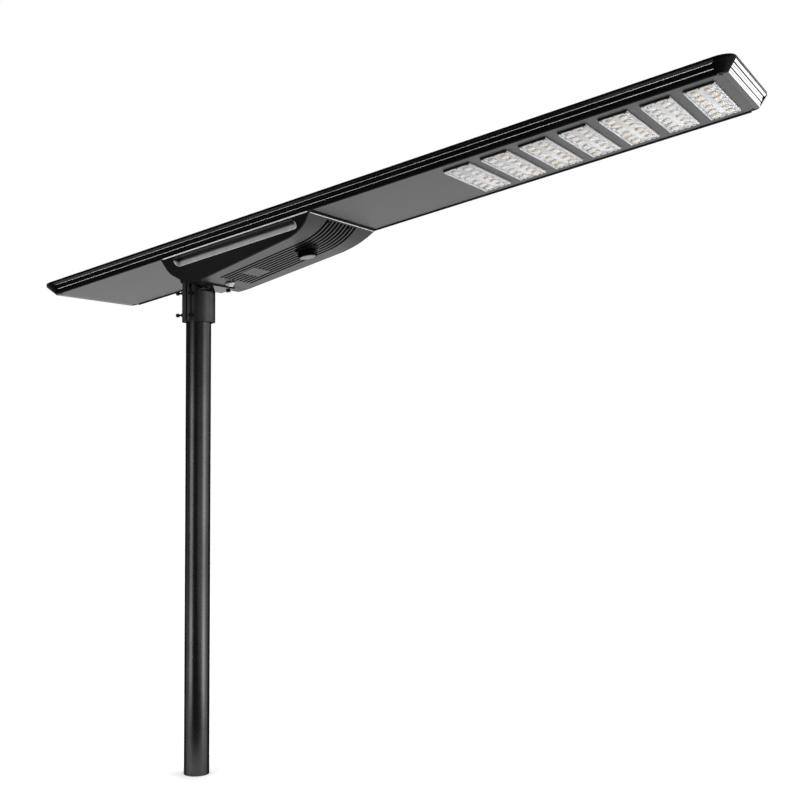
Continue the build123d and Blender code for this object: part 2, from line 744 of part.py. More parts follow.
with BuildPart() as sensor_collar:
    with BuildSketch(head_at(SENSOR_X, 0, SEAT_Z - COLLAR_T)):
        Circle(COLLAR_R)
    extrude(amount=COLLAR_T)
    with BuildSketch(head_at(SENSOR_X, 0, SEAT_Z)):
        Circle(COLLAR_NECK_R)
    extrude(amount=COLLAR_DEEP)
    with BuildSketch(head_at(SENSOR_X, 0, SEAT_Z - COLLAR_T - 0.5)):
        Circle(SENSOR_R + PLAY)
    extrude(amount=COLLAR_DEEP, mode=Mode.SUBTRACT)
save(sensor_collar.part, "sensor_collar")

with BuildPart() as sensor_body:
    with BuildSketch(head_at(SENSOR_X, 0, SENSOR_FACE + 2)):
        Circle(SENSOR_R)
    extrude(amount=-SENSOR_FACE - 2 + SEAT_Z + 12)
    with BuildSketch(head_at(SENSOR_X, 0, SENSOR_FACE)):
        Circle(SENSOR_R)
        Circle(SENSOR_R - SENSOR_RIM, mode=Mode.SUBTRACT)
    extrude(amount=2)
    for angle in (45, 135, 225, 315):
        with BuildSketch(head_at(SENSOR_X, 0, SENSOR_FACE + 3)):
            with PolarLocations(SENSOR_R + 0.4, 1, start_angle=angle):
                Rectangle(3, 6)
        extrude(amount=11)
save(sensor_body.part, "sensor_body")

with BuildPart() as sensor_lens:
    with BuildSketch(head_at(SENSOR_X, 0, SENSOR_FACE - 0.5)):
        Circle(SENSOR_R - SENSOR_RIM - PLAY)
    extrude(amount=SENSOR_LENS_T)
    fillet(sensor_lens.faces().sort_by(HEAD.location.z_axis)[0].edges(), 1.2)
save(sensor_lens.part, "sensor_lens")

# ---- inside the housing -------------------------------------------------------
PACK_PITCH = 2 * CELL_R + 1
with BuildPart() as battery_cells:
    for column in range(PACK_COLUMNS):
        for row in (-1, 0, 1):
            middle = (PACK_X + column * PACK_PITCH, PACK_Z)
            with BuildSketch(head_side(row * (CELL_H + 1) + CELL_H / 2)):
                with Locations(middle):
                    Circle(CELL_R)
            extrude(amount=CELL_H)
save(battery_cells.part, "battery_cells")

PACK_ENDS = (PACK_X - CELL_R - 0.5, PACK_X + (PACK_COLUMNS - 1) * PACK_PITCH + CELL_R + 0.5)
PACK_HALF = 1.5 * (CELL_H + 1) + 1
with BuildPart() as battery_tray:
    add(head_box(PACK_ENDS, (-PACK_HALF, PACK_HALF), (PACK_Z - CELL_R - TRAY_T, PACK_Z - CELL_R)))
    for side in (-1, 1):
        wall = sorted((side * PACK_HALF, side * (PACK_HALF + TRAY_T)))
        add(head_box(PACK_ENDS, wall, (PACK_Z - CELL_R - TRAY_T, -0.5)))
save(battery_tray.part, "battery_tray")

STRAP_X = (PACK_X + 2.5 * PACK_PITCH, PACK_X + 4.5 * PACK_PITCH)
with BuildPart() as battery_straps:
    for x in STRAP_X:
        belt = (x - 8, x + 8)
        low_z = PACK_Z - CELL_R - TRAY_T
        add(head_box(belt, (-PACK_HALF - 3.2, PACK_HALF + 3.2), (low_z - 1.2, low_z)))
        for side in (-1, 1):
            wall = sorted((side * (PACK_HALF + TRAY_T), side * (PACK_HALF + 3.2)))
            add(head_box(belt, wall, (low_z, -0.5)))
save(battery_straps.part, "battery_straps")

ELECTRONICS_X = PACK_ENDS[1] + 12
CASE_X = ELECTRONICS_X + 12
with BuildPart() as battery_board:
    add(head_box((ELECTRONICS_X, ELECTRONICS_X + 2), BMS_Y, BMS_Z))
save(battery_board.part, "battery_board")

with BuildPart() as charge_controller:
    add(head_box((CASE_X, CASE_X + CONTROLLER[0]), (-120, CONTROLLER[1] - 120), (-CONTROLLER[2], 0)))
    fillet(charge_controller.edges().filter_by(HEAD.location.z_axis), CASE_R)
save(charge_controller.part, "charge_controller")

with BuildPart() as led_driver:
    add(head_box((CASE_X, CASE_X + DRIVER[0]), (120 - DRIVER[1], 120), (-DRIVER[2], 0)))
    fillet(led_driver.edges().filter_by(HEAD.location.z_axis), CASE_R)
save(led_driver.part, "led_driver")

# ---- mounting bracket of the head ---------------------------------------------
pivot_head = HEAD.to_local_coords(Vector(PIVOT[0], 0, PIVOT[1]))
lock_head = HEAD.to_local_coords(Vector(PIVOT[0] + LOCK_ARM[0], 0, PIVOT[1] + LOCK_ARM[1]))
arm = Vector(lock_head.X - pivot_head.X, lock_head.Z - pivot_head.Z, 0)


SLOT_ANGLES = (-TILT_DOWN, (TILT_UP - TILT_DOWN) / 2, TILT_UP)


def slot_point(angle, outwards, along=0.0):
    """Point of the arc slot when the head has turned by angle about the pivot."""
    turned = arm.rotate(Axis.Z, -angle - degrees(along / arm.length))
    scale = 1 + outwards / arm.length
    return (pivot_head.X + turned.X * scale, pivot_head.Z + turned.Y * scale)


with BuildPart() as mount_bracket:
    for side in (-1, 1):
        ear = EAR_OUT if side > 0 else -EAR_IN
        with BuildSketch(head_side(ear)):
            with BuildLine():
                Polyline(
                    (TOP_FLANGE[0] + 8, 0),
                    (TOP_FLANGE[1], 0),
                    (TOP_FLANGE[1], -38),
                    (PLATE_X[0], BRACKET_Z),
                    (PLATE_X[1], BRACKET_Z),
                    (PLATE_X[1], BRACKET_Z - PLATE_T),
                    (PLATE_X[0] - 2, BRACKET_Z - PLATE_T),
                    (pivot_head.X + 8, pivot_head.Z - EAR_R + 3),
                    (pivot_head.X - 4, pivot_head.Z - EAR_R + 1),
                    (pivot_head.X - EAR_R, pivot_head.Z - 6),
                    (WEB_X[0] - 4, -40),
                    close=True,
                )
            make_face()
            with Locations((pivot_head.X, pivot_head.Z)):
                Circle(EAR_R)
            with Locations((pivot_head.X, pivot_head.Z)):
                Circle(PIVOT_R + RUNNING, mode=Mode.SUBTRACT)
            with BuildLine():
                rim = BOLT_R + 0.4
                outer = ThreePointArc(*[slot_point(a, rim) for a in SLOT_ANGLES])
                inner = ThreePointArc(*[slot_point(a, -rim) for a in SLOT_ANGLES])
                ThreePointArc(outer @ 0, slot_point(SLOT_ANGLES[0], 0, -rim), inner @ 0)
                ThreePointArc(outer @ 1, slot_point(SLOT_ANGLES[2], 0, rim), inner @ 1)
            make_face(mode=Mode.SUBTRACT)
        extrude(amount=EAR_OUT - EAR_IN)
    add(head_box(PLATE_X, (-BOSS_Y, BOSS_Y), (BRACKET_Z - PLATE_T, BRACKET_Z)))
    add(head_box(TOP_FLANGE, (-BOSS_Y - 8, BOSS_Y + 8), (-PLATE_T, 0)))
    add(head_box(WEB_X, (-EAR_IN, EAR_IN), (-WEB_DEEP, 0)))
save(mount_bracket.part, "mount_bracket")

BRACKET_SCREWS = (
    (478.0, BOSS_Y - 7, BRACKET_Z - PLATE_T),
    (370.0, BOSS_Y, -PLATE_T),
    (408.0, BOSS_Y, -PLATE_T),
)
with BuildPart() as bracket_screws:
    for x, y, top in BRACKET_SCREWS:
        with BuildSketch(head_at(x, 0, top - BRACKET_SCREW_T)):
            with Locations((0, -y), (0, y)):
                RegularPolygon(BOLT_AF / 2, 6, major_radius=False)
        extrude(amount=BRACKET_SCREW_T)
save(bracket_screws.part, "bracket_screws")

# ---- pole and clamp -----------------------------------------------------------
with BuildPart() as pole:
    with BuildSketch(Plane.XY):
        Circle(POLE_R)
        Circle(POLE_R - POLE_WALL, mode=Mode.SUBTRACT)
    extrude(amount=POLE_TOP)
save(pole.part, "pole")

with BuildPart() as reducer_sleeve:
    with BuildSketch(Plane.XY.offset(CLAMP_Z + 2)):
        Circle(CLAMP_R - CLAMP_WALL - 0.1)
        Circle(POLE_R + RUNNING, mode=Mode.SUBTRACT)
        Rectangle(2 * CLAMP_R, 4, mode=Mode.SUBTRACT)
    extrude(amount=POLE_TOP - CLAMP_Z - 4)
save(reducer_sleeve.part, "reducer_sleeve")


def clamp_half(side, flange, top):
    """Half shell of the clamp with its two bolt flanges, on the +X or -X side."""
    with BuildPart() as half:
        with BuildSketch(Plane.XY.offset(CLAMP_Z)):
            Circle(CLAMP_R)
        extrude(amount=top - CLAMP_Z)
        with BuildSketch(Plane.XY.offset(CLAMP_Z)):
            with Locations((side * (SPLIT + flange) / 2, 0)):
                RectangleRounded(flange - SPLIT, 2 * FLANGE_Y, 2)
        extrude(amount=top - CLAMP_Z)
        with BuildSketch(Plane.XY.offset(CLAMP_Z)):
            Circle(CLAMP_R - CLAMP_WALL)
        extrude(amount=top - CLAMP_Z, mode=Mode.SUBTRACT)
        with BuildSketch(Plane.XY.offset(CLAMP_Z)):
            with Locations((side * (SPLIT - CLAMP_R), 0)):
                Rectangle(2 * CLAMP_R, 4 * CLAMP_R)
        extrude(amount=top - CLAMP_Z, mode=Mode.SUBTRACT)
        with BuildSketch(Plane.YZ.offset(-3 * CLAMP_R)):
            with Locations([(y, z) for y in (-CLAMP_BOLT_Y, CLAMP_BOLT_Y) for z in CLAMP_BOLT_Z]):
                Circle(CLAMP_BOLT_R + 0.3)
        extrude(amount=6 * CLAMP_R, mode=Mode.SUBTRACT)
    return half.part


lock_world = (PIVOT[0] + LOCK_ARM[0], PIVOT[1] + LOCK_ARM[1])
with BuildPart() as clamp_saddle:
    add(clamp_half(1, SADDLE_FLANGE, NECK_TOP))
    with BuildSketch(Plane.XZ):
        with BuildLine():
            Polyline(
                (0, NECK_TOP),
                (2 * CLAMP_R, NECK_TOP - 2 * CLAMP_R * NECK_SLOPE),
                (2 * CLAMP_R, NECK_TOP + 9),
                (0, NECK_TOP + 9),
                close=True,
            )
        make_face()
    extrude(amount=2 * CLAMP_R, both=True, mode=Mode.SUBTRACT)
    with BuildSketch(Plane.XY.offset(CLAMP_TOP)):
        Rectangle(4 * CLAMP_R, 2 * NECK_SLOT)
    extrude(amount=2 * CLAMP_R, mode=Mode.SUBTRACT)
    with BuildSketch(Plane.XY.offset(CLAMP_TOP - CAP_T)):
        Circle(CLAMP_R - 2)
    extrude(amount=CAP_T)
    for side in (-1, 1):
        with BuildSketch(Plane.XZ.offset(LUG_OUT if side > 0 else -LUG_IN)):
            with Locations(PIVOT):
                Circle(LUG_R)
            with Locations(lock_world):
                Circle(LOCK_R)
            with BuildLine():
                Polyline(
                    (PIVOT[0] + LUG_R, CLAMP_TOP - 1),
                    (PIVOT[0] + LUG_R, PIVOT[1]),
                    (PIVOT[0], PIVOT[1] + LUG_R),
                    (lock_world[0], lock_world[1] + LOCK_R),
                    (lock_world[0] - LOCK_R, lock_world[1]),
                    (lock_world[0] - LOCK_R - 4, CLAMP_TOP - 1),
                    close=True,
                )
            make_face()
            with Locations(PIVOT):
                Circle(PIVOT_R + 0.05, mode=Mode.SUBTRACT)
            with Locations(lock_world):
                Circle(BOLT_R + 0.05, mode=Mode.SUBTRACT)
        extrude(amount=LUG_IN - LUG_OUT)
save(clamp_saddle.part, "clamp_saddle")

with BuildPart() as clamp_strap:
    add(clamp_half(-1, STRAP_FLANGE, STRAP_TOP))
    with BuildSketch(Plane.XY.offset(CLAMP_TOP - CAP_T - PLAY)):
        Circle(CLAMP_R - 2 + PLAY)
        Rectangle(4 * CLAMP_R, 2 * EAR_ROOM)
    extrude(amount=2 * CLAMP_R, mode=Mode.SUBTRACT)
    for flank in (-1, 1):
        face = Plane(origin=(0, flank * FLANGE_Y, 0), x_dir=(1, 0, 0), z_dir=(0, flank, 0))
        across = (SPLIT + STRAP_FLANGE) / -2
        with BuildSketch(face):
            with Locations([(across, -flank * z) for z in CLAMP_BOLT_Z]):
                Circle(BOSS_R)
        extrude(amount=BOSS_T)
        with BuildSketch(face):
            for ridge in RIDGES:
                with Locations((ridge, -flank * (CLAMP_Z + STRAP_TOP) / 2)):
                    Rectangle(RIDGE_W, STRAP_TOP - CLAMP_Z - 4)
        extrude(amount=RIDGE_W / 2)
save(clamp_strap.part, "clamp_strap")

with BuildPart() as clamp_bolts:
    spots = [(y, z) for y in (-CLAMP_BOLT_Y, CLAMP_BOLT_Y) for z in CLAMP_BOLT_Z]
    with BuildSketch(Plane.YZ.offset(BOLT_HEAD_X - CLAMP_HEAD_T)):
        with Locations(spots):
            RegularPolygon(CLAMP_BOLT_AF / 2, 6, major_radius=False, rotation=30)
    extrude(amount=CLAMP_HEAD_T)
    with BuildSketch(Plane.YZ.offset(BOLT_HEAD_X)):
        with Locations(spots):
            Circle(CLAMP_BOLT_R)
    extrude(amount=BOLT_END_X - BOLT_HEAD_X)
save(clamp_bolts.part, "clamp_bolts")

with BuildPart() as clamp_nuts:
    for face_x in (-STRAP_FLANGE - NUT_T, SADDLE_FLANGE):
        with BuildSketch(Plane.YZ.offset(face_x)):
            with Locations(spots):
                RegularPolygon(CLAMP_BOLT_AF / 2, 6, major_radius=False, rotation=30)
                Circle(CLAMP_BOLT_R + 0.05, mode=Mode.SUBTRACT)
        extrude(amount=NUT_T)
save(clamp_nuts.part, "clamp_nuts")


def cross_bolt(centre, radius, flats):
    """Hex bolt across the tilt joint with its head on the near side."""
    with BuildPart() as bolt:
        with BuildSketch(Plane.XZ.offset(EAR_OUT + PLAY)):
            with Locations(centre):
                RegularPolygon(flats / 2, 6, major_radius=False)
        extrude(amount=CROSS_HEAD_T)
        with BuildSketch(Plane.XZ.offset(-EAR_OUT - 7)):
            with Locations(centre):
                Circle(radius)
        extrude(amount=2 * EAR_OUT + 8)
    return bolt.part


with BuildPart() as pivot_bolt:
    add(cross_bolt(PIVOT, PIVOT_R, PIVOT_AF))
save(pivot_bolt.part, "pivot_bolt")

with BuildPart() as lock_bolt:
    add(cross_bolt(lock_world, BOLT_R, BOLT_AF))
save(lock_bolt.part, "lock_bolt")

with BuildPart() as tilt_nuts:
    for centre, radius, flats in ((PIVOT, PIVOT_R, PIVOT_AF), (lock_world, BOLT_R, BOLT_AF)):
        with BuildSketch(Plane.XZ.offset(-EAR_OUT - PLAY)):
            with Locations(centre):
                RegularPolygon(flats / 2, 6, major_radius=False)
                Circle(radius + 0.05, mode=Mode.SUBTRACT)
        extrude(amount=-CROSS_HEAD_T)
save(tilt_nuts.part, "tilt_nuts")
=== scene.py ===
import json
import math

import bmesh
import bpy
from mathutils import Matrix, Vector
from mathutils.bvhtree import BVHTree


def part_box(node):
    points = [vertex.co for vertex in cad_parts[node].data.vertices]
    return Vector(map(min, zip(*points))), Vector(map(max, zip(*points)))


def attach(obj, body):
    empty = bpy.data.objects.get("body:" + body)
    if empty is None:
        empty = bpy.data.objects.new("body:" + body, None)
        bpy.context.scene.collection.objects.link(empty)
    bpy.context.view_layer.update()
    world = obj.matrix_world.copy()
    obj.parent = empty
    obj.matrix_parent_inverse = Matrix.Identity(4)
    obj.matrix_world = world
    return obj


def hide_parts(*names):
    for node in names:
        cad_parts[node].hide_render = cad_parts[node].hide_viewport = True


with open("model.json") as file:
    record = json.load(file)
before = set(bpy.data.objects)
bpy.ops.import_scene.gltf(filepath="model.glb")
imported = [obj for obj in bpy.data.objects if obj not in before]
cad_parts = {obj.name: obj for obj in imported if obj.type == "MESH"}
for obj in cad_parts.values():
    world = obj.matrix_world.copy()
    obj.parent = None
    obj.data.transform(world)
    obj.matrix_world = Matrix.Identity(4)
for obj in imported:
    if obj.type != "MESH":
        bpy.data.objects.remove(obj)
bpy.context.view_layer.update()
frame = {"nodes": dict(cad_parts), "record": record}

NODES = frame["nodes"]

# ---- the head's own frame: x along it, y across, z square to the underside -----
TILT = math.radians(11.1)
HEAD_ORIGIN = Vector((-0.414, 0.0, 1.450))
HEAD_MATRIX = Matrix.Translation(HEAD_ORIGIN) @ Matrix.Rotation(-TILT, 4, "Y")


def head(x, y, z):
    """A point of the head's frame, in metres, as a point of the row frame."""
    return HEAD_MATRIX @ Vector((x, y, z))


# ---- node helpers -----------------------------------------------------------------
def material(name):
    """A new node material with an empty Principled shader; returns the tree and the shader."""
    made = bpy.data.materials.new(name)
    made.use_nodes = True
    tree = made.node_tree
    tree.nodes.clear()
    shader = tree.nodes.new("ShaderNodeBsdfPrincipled")
    output = tree.nodes.new("ShaderNodeOutputMaterial")
    tree.links.new(shader.outputs["BSDF"], output.inputs["Surface"])
    return made, tree, shader


def node(tree, kind, **values):
    """A node with its properties and the defaults of its sockets set by name."""
    made = tree.nodes.new(kind)
    for key, value in values.items():
        if hasattr(made, key):
            setattr(made, key, value)
        else:
            made.inputs[key.replace("_", " ")].default_value = value
    return made


def place(tree, tilted=True):
    """Object coordinates, turned into the head's frame where the piece is on the head."""
    spot = node(tree, "ShaderNodeTexCoord")
    if not tilted:
        return spot.outputs["Object"]
    shift = node(tree, "ShaderNodeVectorMath", operation="SUBTRACT")
    tree.links.new(spot.outputs["Object"], shift.inputs[0])
    shift.inputs[1].default_value = HEAD_ORIGIN
    turn = node(tree, "ShaderNodeVectorRotate", rotation_type="Y_AXIS")
    turn.inputs["Angle"].default_value = TILT
    tree.links.new(shift.outputs[0], turn.inputs["Vector"])
    return turn.outputs[0]


def stretched(tree, vector, scale):
    """Coordinates stretched by a factor for each axis."""
    made = node(tree, "ShaderNodeVectorMath", operation="MULTIPLY")
    tree.links.new(vector, made.inputs[0])
    made.inputs[1].default_value = scale
    return made.outputs[0]


def noise(tree, vector, scale, detail=2.0, roughness=0.5):
    """Noise from 0 to 1 at a scale."""
    made = node(tree, "ShaderNodeTexNoise", Scale=scale, Detail=detail, Roughness=roughness)
    tree.links.new(vector, made.inputs["Vector"])
    return made.outputs["Fac"]


def spread(tree, value, low, high, start=0.3, end=0.7):
    """A value from start to end, spread over low to high."""
    made = node(tree, "ShaderNodeMapRange")
    made.inputs["From Min"].default_value = start
    made.inputs["From Max"].default_value = end
    made.inputs["To Min"].default_value = low
    made.inputs["To Max"].default_value = high
    tree.links.new(value, made.inputs["Value"])
    return made.outputs["Result"]


def math_of(tree, operation, first, second=None):
    """One sum on values or numbers."""
    made = node(tree, "ShaderNodeMath", operation=operation)
    for index, value in enumerate((first, second)):
        if value is None:
            continue
        if isinstance(value, (int, float)):
            made.inputs[index].default_value = value
        else:
            tree.links.new(value, made.inputs[index])
    return made.outputs[0]


def blend_colour(tree, amount, first, second):
    """Two colours mixed by a value."""
    made = node(tree, "ShaderNodeMix", data_type="RGBA")
    tree.links.new(amount, made.inputs["Factor"])
    for index, value in ((6, first), (7, second)):
        if isinstance(value, tuple):
            made.inputs[index].default_value = (*value, 1.0)
        else:
            tree.links.new(value, made.inputs[index])
    return made.outputs[2]


def bump(tree, shader, height, strength, distance):
    """Relief from a height, on the shader's normal."""
    made = node(tree, "ShaderNodeBump", Strength=strength, Distance=distance)
    tree.links.new(height, made.inputs["Height"])
    tree.links.new(made.outputs["Normal"], shader.inputs["Normal"])


# ---- materials --------------------------------------------------------------------
CHANNEL_LIP = -0.012


def painted(name, dark, light, rough, ior, grain, depth):
    """Powder coat: fine orange peel, broad cloudy tone and dust."""
    made, tree, shader = material(name)
    vector = place(tree)
    cloud = noise(tree, vector, 9.0, 3.0)
    speck = noise(tree, vector, grain, 1.5)
    broad = math_of(tree, "MULTIPLY", cloud, 0.6)
    tone = math_of(tree, "ADD", broad, math_of(tree, "MULTIPLY", speck, 0.4))
    tree.links.new(blend_colour(tree, spread(tree, tone, 0, 1), dark, light), shader.inputs["Base Color"])
    tree.links.new(spread(tree, speck, rough[0], rough[1]), shader.inputs["Roughness"])
    shader.inputs["IOR"].default_value = ior
    bump(tree, shader, speck, depth, 0.0002)
    return made


def gloss_paint(name, dark, light, rough, ior):
    """Smooth black lacquer on an extrusion: very fine die lines, a faint waviness, soft tone changes."""
    made, tree, shader = material(name)
    vector = place(tree)
    cloud = noise(tree, vector, 7.0, 3.0)
    lines = noise(tree, stretched(tree, vector, (1.0, 30.0, 30.0)), 20.0, 2.0)
    tree.links.new(blend_colour(tree, spread(tree, cloud, 0, 1), dark, light), shader.inputs["Base Color"])
    tree.links.new(spread(tree, lines, rough[0], rough[1]), shader.inputs["Roughness"])
    shader.inputs["IOR"].default_value = ior
    bump(tree, shader, lines, 0.04, 0.0002)
    return made


def anodised(name, dark, light, rough, grain):
    """Black anodised metal: it mirrors softly and stays dark towards its edges."""
    made, tree, shader = material(name)
    vector = place(tree, False)
    cloud = noise(tree, vector, 11.0, 3.0)
    speck = noise(tree, vector, grain, 1.5)
    tree.links.new(blend_colour(tree, spread(tree, cloud, 0, 1), dark, light), shader.inputs["Base Color"])
    tree.links.new(spread(tree, speck, rough[0], rough[1]), shader.inputs["Roughness"])
    shader.inputs["Metallic"].default_value = 1.0
    shader.inputs["Specular Tint"].default_value = (0.0, 0.0, 0.0, 1.0)
    bump(tree, shader, speck, 0.15, 0.0001)
    return made


def channel_silver_with_shade():
    """Silver paint of the side channels, with painted shade: it fades to black under their upper lip, where
    the lip shades them.
    """
    made, tree, shader = material("silver_trim")
    vector = place(tree)
    axes = node(tree, "ShaderNodeSeparateXYZ")
    tree.links.new(vector, axes.inputs[0])
    # painted shade: the silver turns black over the 6 mm below the lip height, standing in for the shade
    # under the upper lip
    lip = spread(tree, axes.outputs["Z"], 0, 1, CHANNEL_LIP - 0.006, CHANNEL_LIP)
    cloud = noise(tree, vector, 40.0, 2.0)
    speck = noise(tree, vector, 1100.0, 1.0)
    silver = blend_colour(tree, spread(tree, cloud, 0, 1), (0.74, 0.74, 0.745), (0.88, 0.88, 0.885))
    tree.links.new(blend_colour(tree, lip, silver, (0.006, 0.006, 0.0065)), shader.inputs["Base Color"])
    tree.links.new(spread(tree, speck, 0.3, 0.45), shader.inputs["Roughness"])
    shader.inputs["IOR"].default_value = 1.4
    bump(tree, shader, speck, 0.2, 0.0002)
    return made


def metal(name, colour, rough, lines=(4.0, 220.0, 220.0)):
    """Bare metal with fine lines along one direction."""
    made, tree, shader = material(name)
    vector = place(tree)
    line = noise(tree, stretched(tree, vector, lines), 5.0, 3.0)
    cloud = noise(tree, vector, 30.0, 2.0)
    darker = tuple(0.78 * channel for channel in colour)
    tree.links.new(blend_colour(tree, spread(tree, line, 0, 1), darker, colour), shader.inputs["Base Color"])
    shader.inputs["Metallic"].default_value = 1.0
    tree.links.new(spread(tree, cloud, rough[0], rough[1]), shader.inputs["Roughness"])
    bump(tree, shader, line, 0.15, 0.0001)
    return made


def plastic(name, dark, light, rough, grain=1400.0, ior=1.42):
    """Moulded plastic with a fine spark-eroded grain."""
    made, tree, shader = material(name)
    vector = place(tree)
    cloud = noise(tree, vector, 18.0, 2.0)
    tree.links.new(blend_colour(tree, spread(tree, cloud, 0, 1), dark, light), shader.inputs["Base Color"])
    speck = noise(tree, vector, grain, 1.0)
    tree.links.new(spread(tree, speck, rough[0], rough[1]), shader.inputs["Roughness"])
    shader.inputs["IOR"].default_value = ior
    bump(tree, shader, speck, 0.3, 0.0002)
    return made


def clear_lens():
    """Clear polycarbonate: transparent, with faint flow marks and a little haze."""
    made, tree, shader = material("clear_lens")
    vector = place(tree)
    flow = noise(tree, vector, 120.0, 2.0)
    tree.links.new(
        blend_colour(tree, spread(tree, flow, 0, 1), (0.94, 0.95, 0.96), (0.99, 0.99, 1.0)),
        shader.inputs["Base Color"],
    )
    tree.links.new(spread(tree, flow, 0.05, 0.12), shader.inputs["Roughness"])
    shader.inputs["IOR"].default_value = 1.49
    shader.inputs["Transmission Weight"].default_value = 0.64
    bump(tree, shader, flow, 0.08, 0.0003)
    return made


def panel_glass():
    """Clear solar glass with a faint texture."""
    made, tree, shader = material("panel_glass")
    vector = place(tree)
    flow = noise(tree, vector, 260.0, 1.0)
    tree.links.new(
        blend_colour(tree, spread(tree, flow, 0, 1), (0.93, 0.96, 0.95), (0.97, 0.99, 0.99)),
        shader.inputs["Base Color"],
    )
    tree.links.new(spread(tree, flow, 0.03, 0.08), shader.inputs["Roughness"])
    shader.inputs["IOR"].default_value = 1.3
    shader.inputs["Transmission Weight"].default_value = 1.0
    bump(tree, shader, flow, 0.05, 0.0002)
    return made


CELL_PITCH = 0.184
BUSBARS = 10
FINGERS = 90


def repeated(tree, value, pitch, offset, width):
    """1 on thin lines that repeat along a coordinate, 0 between them."""
    moved = math_of(tree, "SUBTRACT", value, offset)
    part = math_of(tree, "FRACT", math_of(tree, "DIVIDE", moved, pitch))
    centred = math_of(tree, "ABSOLUTE", math_of(tree, "SUBTRACT", part, 0.5))
    return math_of(tree, "LESS_THAN", centred, width / pitch / 2)


def solar_cell():
    """Dark blue cells with silver busbars along the panel and fine fingers across it."""
    made, tree, shader = material("solar_cell")
    vector = place(tree)
    axes = node(tree, "ShaderNodeSeparateXYZ")
    tree.links.new(vector, axes.inputs[0])
    bus = repeated(tree, axes.outputs["Y"], CELL_PITCH / BUSBARS, 0.0, 0.0008)
    finger = repeated(tree, axes.outputs["X"], CELL_PITCH / FINGERS, 0.0, 0.0003)
    cloud = noise(tree, vector, 14.0, 3.0)
    blue = blend_colour(tree, spread(tree, cloud, 0, 1), (0.006, 0.012, 0.045), (0.012, 0.024, 0.075))
    fine = blend_colour(tree, math_of(tree, "MULTIPLY", finger, 0.2), blue, (0.18, 0.20, 0.26))
    lined = blend_colour(tree, bus, fine, (0.40, 0.41, 0.44))
    tree.links.new(lined, shader.inputs["Base Color"])
    tree.links.new(math_of(tree, "MULTIPLY", bus, 0.9), shader.inputs["Metallic"])
    tree.links.new(spread(tree, cloud, 0.22, 0.34), shader.inputs["Roughness"])
    bump(tree, shader, math_of(tree, "ADD", bus, finger), 0.2, 0.0001)
    return made


def circuit_board():
    """White solder mask with copper tracks showing through as soft ridges."""
    made, tree, shader = material("circuit_board")
    vector = place(tree)
    axes = node(tree, "ShaderNodeSeparateXYZ")
    tree.links.new(vector, axes.inputs[0])
    track = repeated(tree, axes.outputs["X"], 0.0085, 0.001, 0.0022)
    cloud = noise(tree, vector, 60.0, 2.0)
    mask = blend_colour(tree, spread(tree, cloud, 0, 1), (0.92, 0.925, 0.93), (0.97, 0.97, 0.975))
    tree.links.new(
        blend_colour(tree, math_of(tree, "MULTIPLY", track, 0.5), mask, (0.30, 0.305, 0.31)),
        shader.inputs["Base Color"],
    )
    tree.links.new(spread(tree, cloud, 0.22, 0.38), shader.inputs["Roughness"])
    bump(tree, shader, track, 0.4, 0.0001)
    return made


def phosphor():
    """Amber phosphor of the LED chips."""
    made, tree, shader = material("led_phosphor")
    speck = noise(tree, place(tree), 2500.0, 2.0)
    tree.links.new(
        blend_colour(tree, spread(tree, speck, 0, 1), (0.90, 0.42, 0.03), (0.98, 0.60, 0.08)),
        shader.inputs["Base Color"],
    )
    tree.links.new(spread(tree, speck, 0.3, 0.5), shader.inputs["Roughness"])
    bump(tree, shader, speck, 0.2, 0.0001)
    return made


MATERIALS = {
    "frame_paint": gloss_paint(
        "frame_paint", (0.003, 0.003, 0.0032), (0.0055, 0.0055, 0.0058), (0.10, 0.16), ior=1.27
    ),
    "housing_paint": painted(
        "housing_paint", (0.0012, 0.0012, 0.0013), (0.0028, 0.0028, 0.003), (0.22, 0.34), ior=1.16,
        grain=600.0, depth=0.3,
    ),
    "underside_paint": painted(
        "underside_paint", (0.002, 0.0021, 0.0022), (0.005, 0.0051, 0.0053), (0.26, 0.40), ior=1.32,
        grain=700.0, depth=0.5,
    ),
    "bare_aluminium": metal("bare_aluminium", (0.93, 0.935, 0.94), (0.45, 0.6)),
    "white_sheet": plastic("white_sheet", (0.72, 0.72, 0.71), (0.82, 0.82, 0.81), (0.45, 0.6)),
    "solar_cell": solar_cell(),
    "clear_glass": panel_glass(),
    "black_plastic": plastic(
        "black_plastic", (0.001, 0.001, 0.0011), (0.003, 0.003, 0.0033), (0.3, 0.45), ior=1.09
    ),
    "clear_lens": clear_lens(),
    "circuit_board": circuit_board(),
    "led_phosphor": phosphor(),
    "steel_hardware": metal("steel_hardware", (0.66, 0.66, 0.66), (0.2, 0.4), lines=(120.0, 120.0, 120.0)),
    "silver_trim": channel_silver_with_shade(),
    "gasket_rubber": plastic("gasket_rubber", (0.008, 0.008, 0.008), (0.02, 0.02, 0.02), (0.6, 0.8)),
    "sensor_window": plastic("sensor_window", (0.10, 0.102, 0.105), (0.15, 0.152, 0.155), (0.3, 0.45)),
    "cell_wrap": plastic("cell_wrap", (0.01, 0.06, 0.22), (0.02, 0.09, 0.30), (0.25, 0.4)),
    "black_hardware": plastic(
        "black_hardware", (0.003, 0.003, 0.003), (0.007, 0.007, 0.0073), (0.25, 0.4), grain=900.0, ior=1.2
    ),
    "pole_paint": anodised("pole_paint", (0.050, 0.050, 0.052), (0.062, 0.062, 0.064), (0.26, 0.31), 500.0),
    "clamp_paint": anodised("clamp_paint", (0.045, 0.045, 0.047), (0.065, 0.065, 0.067), (0.36, 0.46), 350.0),
}

SLOT_OF = {entry["node"]: entry["material_slot"] for entry in frame["record"]["subparts"]}
for name, thing in NODES.items():
    thing.data.materials.clear()
    thing.data.materials.append(MATERIALS[SLOT_OF[name]])


